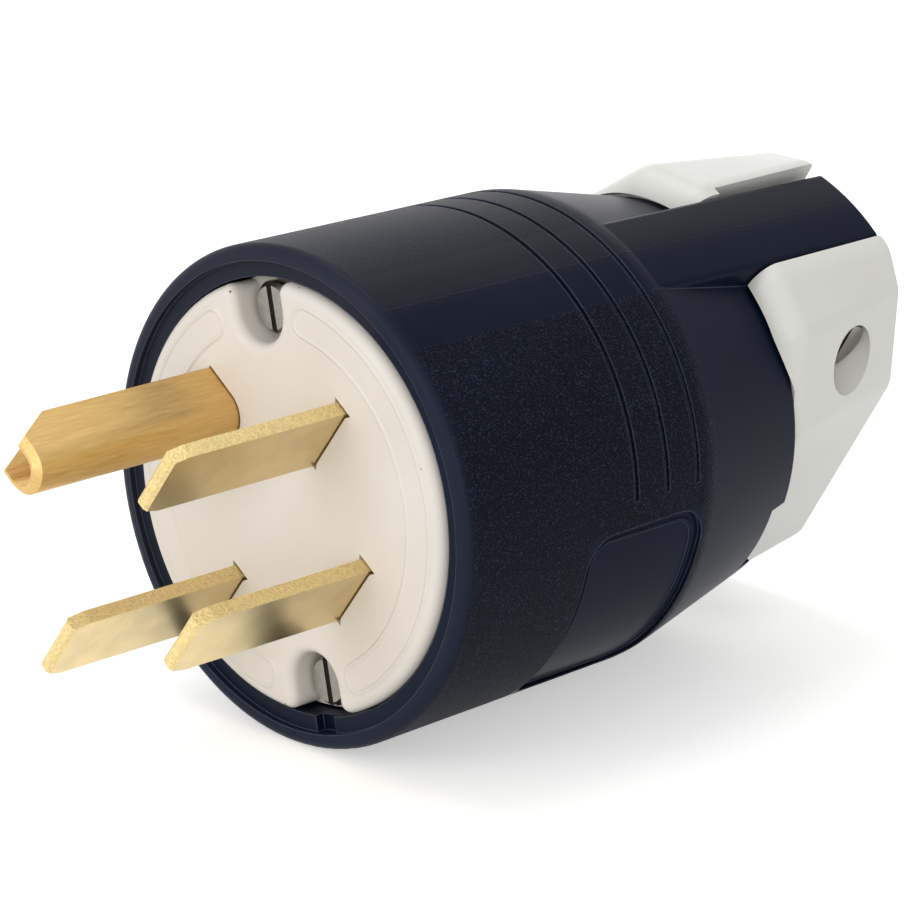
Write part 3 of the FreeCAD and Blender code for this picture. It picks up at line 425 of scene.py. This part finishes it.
plasticFinish = {
    "plastics": {
        # colour, shade that the clouds bring, roughness
        "mouldedUreaFace": ("#e5dfd7", "#dad3ca", 0.42),  # aged to a warm off-white
        "mouldedNylonJaws": ("#e7e6e1", "#dddcd6", 0.36),  # a cooler and glossier off-white
        "mouldedPhenolicRetainer": ("#17181b", "#101114", 0.42),  # black
    },
    "cloudSize": 14.0,  # mm
    "glossDrift": 0.05,  # how far the roughness goes either way
    "specularLevel": 0.3,
    "skinPitch": 0.6,  # mm, the fine skin that the mould leaves
    "skinDepth": 0.02,  # mm
    "skinStrength": 0.35,
    "edgeShadeAndSpeckColour": "#7a6238",  # a brown painted shade where the face meets the rim, and the colour of the dark specks
    "edgeShadeRadii": (31.5, 32.3),  # mm from the axis
    "edgeShadePatch": 3.5,  # mm
    "edgeShadeSpan": (0.42, 0.60),  # the noise's values from no shade to full painted shade
    "edgeShadeStrength": 0.75,
    "speckSpacing": 2.0,  # mm between places where a speck may be
    "speckSize": (0.07, 0.13),  # shares of that, from a speck's middle to its end
    "speckChoice": (0.72, 0.74),  # places whose random number is below this have no speck
    "speckEdge": (28.8, 29.3),  # mm from the axis; there are no specks inside it
}


def faceEdgeShadeAndSpecks(tree, own, values):
    # painted brown shade in patches round the face's edge, where it meets the rim, and a few dark specks of
    # dirt just inside it
    radius = axisDistance(tree, own)
    edge = addNode(tree, "ShaderNodeMapRange", smooth, {
        "Value": radius,
        "From Min": values["edgeShadeRadii"][0] * mm, "From Max": values["edgeShadeRadii"][1] * mm,
    })
    patches = addNode(tree, "ShaderNodeTexNoise", None,
                      {"Vector": own, "Scale": 1 / (values["edgeShadePatch"] * mm), "Detail": 4.0})
    patchy = addNode(tree, "ShaderNodeMapRange", smooth, {
        "Value": patches, "From Min": values["edgeShadeSpan"][0], "From Max": values["edgeShadeSpan"][1],
        "To Max": values["edgeShadeStrength"],
    })
    edgeShade = addNode(tree, "ShaderNodeMath", times, {0: edge, 1: patchy})
    dots = addNode(tree, "ShaderNodeTexVoronoi", None,
                   {"Vector": own, "Scale": 1 / (values["speckSpacing"] * mm)})
    dotHere = addNode(tree, "ShaderNodeMapRange", smooth, {
        "Value": dots.outputs["Distance"],
        "From Min": values["speckSize"][0], "From Max": values["speckSize"][1],
        "To Min": 1.0, "To Max": 0.0,
    })
    dotNumber = addNode(tree, "ShaderNodeSeparateColor", None, {"Color": dots.outputs["Color"]})
    chosen = addNode(tree, "ShaderNodeMapRange", smooth, {
        "Value": dotNumber, "From Min": values["speckChoice"][0], "From Max": values["speckChoice"][1],
    })
    pastInner = addNode(tree, "ShaderNodeMapRange", smooth, {
        "Value": radius,
        "From Min": values["speckEdge"][0] * mm, "From Max": values["speckEdge"][1] * mm,
    })
    fewDots = addNode(tree, "ShaderNodeMath", times, {0: dotHere, 1: chosen})
    specks = addNode(tree, "ShaderNodeMath", times, {0: fewDots, 1: pastInner})
    return addNode(tree, "ShaderNodeMath", largest, {0: edgeShade, 1: specks})


def mouldedPlastic(name, values, withEdgeShadeAndSpecks=False):
    # smooth moulding: a soft eggshell gloss, faint clouding and a fine mould skin
    colour, shade, roughness = values["plastics"][name]
    material = newMaterial(name)
    tree = material.node_tree
    own = plugCoordinates(tree)
    cloud = addNode(tree, "ShaderNodeTexNoise", None, {
        "Vector": own, "Scale": 1 / (values["cloudSize"] * mm), "Detail": 5.0, "Roughness": 0.55,
    })
    tone = addNode(tree, "ShaderNodeMix", ofColours,
                   {0: cloud, 6: linearColour(colour), 7: linearColour(shade)})
    # the face's edge gets a painted brown shade where it meets the rim, and a few dark specks
    if withEdgeShadeAndSpecks:
        tone = addNode(tree, "ShaderNodeMix", ofColours, {
            0: faceEdgeShadeAndSpecks(tree, own, values), 6: tone.outputs[2], 7: linearColour(values["edgeShadeAndSpeckColour"]),
        })
    skin = addNode(tree, "ShaderNodeTexNoise", None,
                   {"Vector": own, "Scale": 1 / (values["skinPitch"] * mm), "Detail": 3.0})
    relief = addNode(tree, "ShaderNodeBump", None, {
        "Height": skin, "Strength": values["skinStrength"], "Distance": values["skinDepth"] * mm,
    })
    gloss = addNode(tree, "ShaderNodeMapRange", None, {
        "Value": cloud,
        "To Min": roughness - values["glossDrift"], "To Max": roughness + values["glossDrift"],
    })
    shader = addNode(tree, "ShaderNodeBsdfPrincipled", None, {
        "Base Color": tone.outputs[2], "Roughness": gloss, "IOR": 1.53,
        "Specular IOR Level": values["specularLevel"], "Normal": relief,
    })
    addNode(tree, "ShaderNodeOutputMaterial", None, {"Surface": shader})
    return material


bladeFinish = {
    "sideColour": "#e0cc9a",
    "edgeColour": "#ebd397",
    "sideRoughness": 0.27,
    "edgeRoughness": 0.40,
    "edgeSpan": (0.72, 0.90),  # the cosine to the broad side, from a sheared edge to that side
    "rollMarks": 0.35,  # mm between the marks of rolling
    "rollStretch": 0.06,  # below 1, the marks run along the strip
    "rollDepth": 0.010,  # mm
    "shearGrain": 0.45,  # mm, the tearing on the sheared edges
    "shearDepth": 0.25,  # mm; deeper than real so that it shows
    "tarnishSize": 5.0,  # mm
    "tarnishSpan": (0.3, 0.7),  # the noise's values from tarnished to clean
    "tarnish": (0.88, 1.06),  # the colour's strength at the two
    "tearSpan": (0.35, 0.65),  # the noise's values from torn to smeared
    "tearing": (0.80, 1.10),  # the colour's strength at the two
}


def rolledBrassBlade(values):
    # yellow brass strip, rolled and sheared: satin sides with faint lengthwise marks, bright torn edges
    material = newMaterial("rolledBrassBlade")
    tree = material.node_tree
    own = plugCoordinates(tree)
    facing = addNode(tree, "ShaderNodeNewGeometry")
    across = addNode(tree, "ShaderNodeVectorMath", {"operation": "DOT_PRODUCT"},
                     {0: facing.outputs["Normal"], 1: bladeSide})
    eitherWay = addNode(tree, "ShaderNodeMath", absolute, {0: across.outputs["Value"]})
    isEdge = addNode(tree, "ShaderNodeMapRange", smooth, {
        "Value": eitherWay, "From Min": values["edgeSpan"][0], "From Max": values["edgeSpan"][1],
        "To Min": 1.0, "To Max": 0.0,
    })
    along = addNode(tree, "ShaderNodeVectorMath", times, {0: own, 1: (1.0, values["rollStretch"], 1.0)})
    marks = addNode(tree, "ShaderNodeTexNoise", None,
                    {"Vector": along, "Scale": 1 / (values["rollMarks"] * mm), "Detail": 4.0})
    tearing = addNode(tree, "ShaderNodeTexNoise", None, {
        "Vector": own, "Scale": 1 / (values["shearGrain"] * mm), "Detail": 5.0, "Roughness": 0.7,
    })
    cloud = addNode(tree, "ShaderNodeTexNoise", None,
                    {"Vector": own, "Scale": 1 / (values["tarnishSize"] * mm), "Detail": 4.0})
    markHeight = addNode(tree, "ShaderNodeMath", times, {0: marks, 1: values["rollDepth"] * mm})
    tearHeight = addNode(tree, "ShaderNodeMath", times, {0: tearing, 1: values["shearDepth"] * mm})
    height = addNode(tree, "ShaderNodeMix", ofNumbers, {0: isEdge, 2: markHeight, 3: tearHeight})
    relief = addNode(tree, "ShaderNodeBump", None, {"Height": height, "Strength": 1.0, "Distance": 1.0})
    tone = addNode(tree, "ShaderNodeMix", ofColours, {
        0: isEdge, 6: linearColour(values["sideColour"]), 7: linearColour(values["edgeColour"]),
    })
    tarnished = addNode(tree, "ShaderNodeMapRange", None, {
        "Value": cloud, "From Min": values["tarnishSpan"][0], "From Max": values["tarnishSpan"][1],
        "To Min": values["tarnish"][0], "To Max": values["tarnish"][1],
    })
    torn = addNode(tree, "ShaderNodeMapRange", None, {
        "Value": tearing, "From Min": values["tearSpan"][0], "From Max": values["tearSpan"][1],
        "To Min": values["tearing"][0], "To Max": values["tearing"][1],
    })
    drift = addNode(tree, "ShaderNodeMix", ofNumbers, {0: isEdge, 2: tarnished, 3: torn})
    toned = addNode(tree, "ShaderNodeVectorMath", {"operation": "SCALE"},
                    {0: tone.outputs[2], "Scale": drift})
    gloss = addNode(tree, "ShaderNodeMix", ofNumbers,
                    {0: isEdge, 2: values["sideRoughness"], 3: values["edgeRoughness"]})
    shader = addNode(tree, "ShaderNodeBsdfPrincipled", None,
                     {"Base Color": toned, "Metallic": 1.0, "Roughness": gloss, "Normal": relief})
    addNode(tree, "ShaderNodeOutputMaterial", None, {"Surface": shader})
    return material


pinFinish = {
    "colour": "#bf9652",
    "lightColour": "#eecd90",
    "roughness": (0.32, 0.52),  # from the bottom of a stroke to its top
    "brushPitch": 0.4,  # mm between brush strokes; coarser than real so that they show
    "brushStretch": 0.08,  # below 1, the strokes run along the pin
    "brushDepth": 0.05,  # mm
}


def brushedBrassPin(values):
    # folded brass strip, tumbled and brushed lengthwise: a deeper gold with long dull strokes
    material = newMaterial("brushedBrassPin")
    tree = material.node_tree
    own = plugCoordinates(tree)
    along = addNode(tree, "ShaderNodeVectorMath", times, {0: own, 1: (1.0, values["brushStretch"], 1.0)})
    strokes = addNode(tree, "ShaderNodeTexNoise", None, {
        "Vector": along, "Scale": 1 / (values["brushPitch"] * mm), "Detail": 6.0, "Roughness": 0.65,
    })
    tone = addNode(tree, "ShaderNodeMix", ofColours, {
        0: strokes, 6: linearColour(values["colour"]), 7: linearColour(values["lightColour"]),
    })
    gloss = addNode(tree, "ShaderNodeMapRange", None, {
        "Value": strokes, "To Min": values["roughness"][0], "To Max": values["roughness"][1],
    })
    relief = addNode(tree, "ShaderNodeBump", None,
                     {"Height": strokes, "Strength": 1.0, "Distance": values["brushDepth"] * mm})
    shader = addNode(tree, "ShaderNodeBsdfPrincipled", None,
                     {"Base Color": tone.outputs[2], "Metallic": 1.0, "Roughness": gloss, "Normal": relief})
    addNode(tree, "ShaderNodeOutputMaterial", None, {"Surface": shader})
    return material


smallMetal = {
    "metals": {
        # colour, shade that the mottling brings, roughness
        "zincPlatedSteel": ("#a09c95", "#847f78", 0.34),  # a soft grey shine
        "turnedBrassInsert": ("#c9a65a", "#b08c44", 0.32),  # bare, and so yellow
        "greenDyedBrassScrew": ("#4f8a4a", "#3c7039", 0.40),  # green, to mark the ground
    },
    "mottleSize": 0.8,  # mm
    "mottleDepth": 0.02,  # mm
    "mottleStrength": 0.5,
    "glossDrift": (-0.06, 0.08),  # how far the roughness goes either way
}


def mottledMetal(name, values):
    # turned, and plated, dyed or left bare: an even satin shine with a faint mottling
    colour, shade, roughness = values["metals"][name]
    material = newMaterial(name)
    tree = material.node_tree
    own = plugCoordinates(tree)
    mottle = addNode(tree, "ShaderNodeTexNoise", None,
                     {"Vector": own, "Scale": 1 / (values["mottleSize"] * mm), "Detail": 4.0})
    tone = addNode(tree, "ShaderNodeMix", ofColours,
                   {0: mottle, 6: linearColour(colour), 7: linearColour(shade)})
    gloss = addNode(tree, "ShaderNodeMapRange", None, {
        "Value": mottle,
        "To Min": roughness + values["glossDrift"][0], "To Max": roughness + values["glossDrift"][1],
    })
    relief = addNode(tree, "ShaderNodeBump", None, {
        "Height": mottle, "Strength": values["mottleStrength"], "Distance": values["mottleDepth"] * mm,
    })
    shader = addNode(tree, "ShaderNodeBsdfPrincipled", None,
                     {"Base Color": tone.outputs[2], "Metallic": 1.0, "Roughness": gloss, "Normal": relief})
    addNode(tree, "ShaderNodeOutputMaterial", None, {"Surface": shader})
    return material


housingNylon = mouldedNylonHousing(housingFinish)
facePlastic = mouldedPlastic("mouldedUreaFace", plasticFinish, withEdgeShadeAndSpecks=True)
jawPlastic = mouldedPlastic("mouldedNylonJaws", plasticFinish)
retainerPlastic = mouldedPlastic("mouldedPhenolicRetainer", plasticFinish)
bladeBrass = rolledBrassBlade(bladeFinish)
pinBrass = brushedBrassPin(pinFinish)
screwSteel = mottledMetal("zincPlatedSteel", smallMetal)
insertBrass = mottledMetal("turnedBrassInsert", smallMetal)
groundGreen = mottledMetal("greenDyedBrassScrew", smallMetal)

# screws and nuts that aren't named here are steel
nodeFinish = {
    "housing": housingNylon,
    "contact_carrier": facePlastic,
    "contact_retainer": retainerPlastic,
    "blade_x": bladeBrass,
    "blade_y": bladeBrass,
    "blade_z": bladeBrass,
    "ground_pin": pinBrass,
    "terminal_plate_blade_x": bladeBrass,
    "terminal_plate_blade_y": bladeBrass,
    "terminal_plate_blade_z": bladeBrass,
    "terminal_plate_ground_pin": bladeBrass,
    "terminal_screw_ground_pin": groundGreen,
    "threaded_insert_upper": insertBrass,
    "threaded_insert_lower": insertBrass,
    "clamp_jaw_screw_side": jawPlastic,
    "clamp_jaw_nut_side": jawPlastic,
}

for name, node in nodes.items():
    material = nodeFinish.get(name, screwSteel)
    if node.data.materials:
        for index in range(len(node.data.materials)):
            node.data.materials[index] = material
    else:
        node.data.materials.append(material)
print("plug: finishes set on", len(nodes), "nodes")


faceBands = {
    "innerRadius": 25.0,  # mm from the axis
    "outerRadius": 29.2,
    "endGapDegrees": 16.5,  # from a face screw's middle to the tip of a band
    "beadWidth": 0.8,  # mm
    "beadHeight": 0.22,
    "beadDepth": 0.05,  # how far the bead is let into the face
    "arcPoints": 180,
    "capPoints": 16,
    "sectionPoints": 9,
}


def onCircle(middle, radius, angles):
    # points on a circle about its middle, at these angles
    return np.array(middle) + radius * np.stack([np.cos(angles), np.sin(angles)], -1)


def bandOutline(values, startAngle, endAngle):
    # a bent slot's outline: an outer arc, a half circle, an inner arc and a half circle,
    # all at angles about the axis, with the half circles' middles on the mean radius
    axis = (0.0, 0.0)
    middle = (values["outerRadius"] + values["innerRadius"]) / 2
    half = (values["outerRadius"] - values["innerRadius"]) / 2
    inset = half / middle
    start = startAngle + inset
    end = endAngle - inset
    outerSweep = np.linspace(start, end, values["arcPoints"], endpoint=False)
    innerSweep = np.linspace(end, start, values["arcPoints"], endpoint=False)
    bend = np.linspace(0.0, np.pi, values["capPoints"], endpoint=False)
    flat = np.concatenate([
        onCircle(axis, values["outerRadius"], outerSweep),
        onCircle(onCircle(axis, middle, end), half, end + bend),
        onCircle(axis, values["innerRadius"], innerSweep),
        onCircle(onCircle(axis, middle, start), half, start + np.pi + bend),
    ]) * mm
    return np.stack([flat[:, 0], np.zeros(len(flat)), flat[:, 1]], 1)


def gridPiece(name, points, isRing):
    # a smooth piece over rows of points, each row a closed loop: in a ring the last row joins
    # the first, and otherwise a flat cap closes each end
    rows, columns = points.shape[:2]
    row, column = np.meshgrid(np.arange(rows if isRing else rows - 1), np.arange(columns), indexing="ij")
    nextRow = (row + 1) % rows
    nextColumn = (column + 1) % columns
    quads = np.stack([row * columns + column, row * columns + nextColumn,
                      nextRow * columns + nextColumn, nextRow * columns + column], -1)
    faces = quads.reshape(-1, 4).tolist()
    if not isRing:
        faces += [list(range(columns)), list(range((rows - 1) * columns, rows * columns))]
    mesh = bpy.data.meshes.new(name)
    mesh.from_pydata(points.reshape(-1, 3).tolist(), [], faces)
    form = bmesh.new()
    form.from_mesh(mesh)
    bmesh.ops.recalc_face_normals(form, faces=form.faces)
    form.to_mesh(mesh)
    form.free()
    mesh.polygons.foreach_set("use_smooth", np.ones(len(mesh.polygons), dtype=bool))
    piece = bpy.data.objects.new(name, mesh)
    scene.collection.objects.link(piece)
    return piece


def beadAlong(name, path, outward, values):
    # a low bead along a closed path on a surface: its top is a squared cosine of the place
    # across it, and its flat underside lies a little inside the surface
    forward = np.roll(path, -1, axis=0) - np.roll(path, 1, axis=0)
    forward /= np.linalg.norm(forward, axis=1, keepdims=True)
    sideways = np.cross(forward, outward)
    across = np.linspace(-0.5, 0.5, values["sectionPoints"])
    top = values["beadHeight"] * np.cos(np.pi * across) ** 2
    offset = np.concatenate([across, across[::-1]]) * values["beadWidth"] * mm
    lift = np.concatenate([top, np.full(len(across), -values["beadDepth"])]) * mm
    aside = sideways[:, None, :] * offset[None, :, None]
    return gridPiece(name, path[:, None, :] + aside + outward[:, None, :] * lift[None, :, None], True)


def screwAngle(name):
    # where a face screw stands, as an angle about the axis from the frame's X
    low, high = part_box(name)
    return math.atan2(low[2] + high[2], low[0] + high[0])


upperScrew = screwAngle("face_screw_upper")
lowerScrew = screwAngle("face_screw_lower")
bandGap = math.radians(faceBands["endGapDegrees"])
bandSpans = {
    "face_band_right": (lowerScrew + bandGap, upperScrew - bandGap),
    "face_band_left": (upperScrew + bandGap, lowerScrew + 2 * math.pi - bandGap),
}
for name, (startAngle, endAngle) in bandSpans.items():
    outline = bandOutline(faceBands, startAngle, endAngle)
    band = beadAlong(name, outline, np.tile(-ownY, (len(outline), 1)), faceBands)
    band.data.materials.append(facePlastic)
    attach(band, "root")
print("plug: beads round the face's two bands")


def panelOutline(values, side):
    # a rectangle with round corners in X and Y, laid on the panel's floor, which is round about
    # the axis: Z is the height of that circle over X, on one side or the other
    half = values["half"] - values["beadInset"]
    low = values["start"] + values["beadInset"]
    high = values["start"] + values["length"] - values["beadInset"]
    corner = values["corner"] - values["beadInset"]
    run = np.linspace(0.0, 1.0, values["sidePoints"], endpoint=False)
    bend = np.linspace(0.0, np.pi / 2, values["cornerPoints"], endpoint=False)
    middles = ((half - corner, high - corner), (corner - half, high - corner),
               (corner - half, low + corner), (half - corner, low + corner))
    stretches = []
    for turn, (x, y) in enumerate(middles):
        arc = onCircle((x, y), corner, bend + turn * np.pi / 2)
        arcEnd = onCircle((x, y), corner, (turn + 1) * np.pi / 2)
        nextX, nextY = middles[(turn + 1) % 4]
        stretches += [arc, arcEnd + np.array([nextX - x, nextY - y]) * run[:, None]]
    flat = np.concatenate(stretches)
    ownHeight = side * np.sqrt(values["floorRadius"] ** 2 - flat[:, 0] ** 2)
    radial = flat[:, :1] * ownX + ownHeight[:, None] * ownZ
    path = (radial + flat[:, 1:] * ownY) * mm
    return path, radial / np.linalg.norm(radial, axis=1, keepdims=True)


for name, side in (("side_panel_bead_near", -1.0), ("side_panel_bead_far", 1.0)):
    path, outward = panelOutline(sidePanel, side)
    bead = beadAlong(name, path, outward, sidePanel)
    bead.data.materials.append(housingNylon)
    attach(bead, "root")
print("plug: beads inside the two side panels")


screwThread = {
    "pitch": 0.8,  # mm from one crest to the next
    "shankRadius": 2.4,
    "crest": 0.20,  # mm, how far the crests stand off the shank
    "valley": 0.05,  # mm, how far the valleys lie inside it
    "headHeight": 3.0,
    "plainShank": 2.0,  # mm under the head
    "fade": 0.8,  # mm over which the thread runs out at each end
    "roundPoints": 40,
    "pitchPoints": 8,
}


def threadSleeve(name, screw, values):
    # a tube round a clamp screw's shank: its radius rises and falls once a pitch along the screw,
    # the crest moves on by one pitch a turn, and both ends run out inside the shank
    corners = np.empty(len(screw.data.vertices) * 3, dtype=np.float32)
    screw.data.vertices.foreach_get("co", corners)
    corners = corners.reshape(-1, 3).astype(float) / mm
    own = np.stack([corners @ ownX, corners @ ownY, corners @ ownZ], 1)
    middle = (own.min(0) + own.max(0)) / 2
    start = own[:, 2].min() + values["headHeight"] + values["plainShank"]
    end = own[:, 2].max()
    rows = int((end - start) / values["pitch"] * values["pitchPoints"])
    turns = np.linspace(0.0, 2 * np.pi, values["roundPoints"], endpoint=False)
    place, turn = np.meshgrid(np.linspace(start, end, rows), turns, indexing="ij")
    wave = 0.5 + 0.5 * np.cos(2 * np.pi * place / values["pitch"] - turn)
    fade = np.clip(np.minimum(place - start, end - place) / values["fade"], 0.0, 1.0)
    lowest = values["shankRadius"] - values["valley"]
    radius = lowest + (values["crest"] + values["valley"]) * wave * fade
    points = ((middle[0] + radius * np.cos(turn))[..., None] * ownX
              + (middle[1] + radius * np.sin(turn))[..., None] * ownY
              + place[..., None] * ownZ) * mm
    return gridPiece(name, points, False)


for side in ("right", "left"):
    thread = threadSleeve(f"clamp_screw_thread_{side}", nodes[f"clamp_screw_{side}"], screwThread)
    thread.data.materials.append(screwSteel)
    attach(thread, "root")
print("plug: threads on the clamp screws")
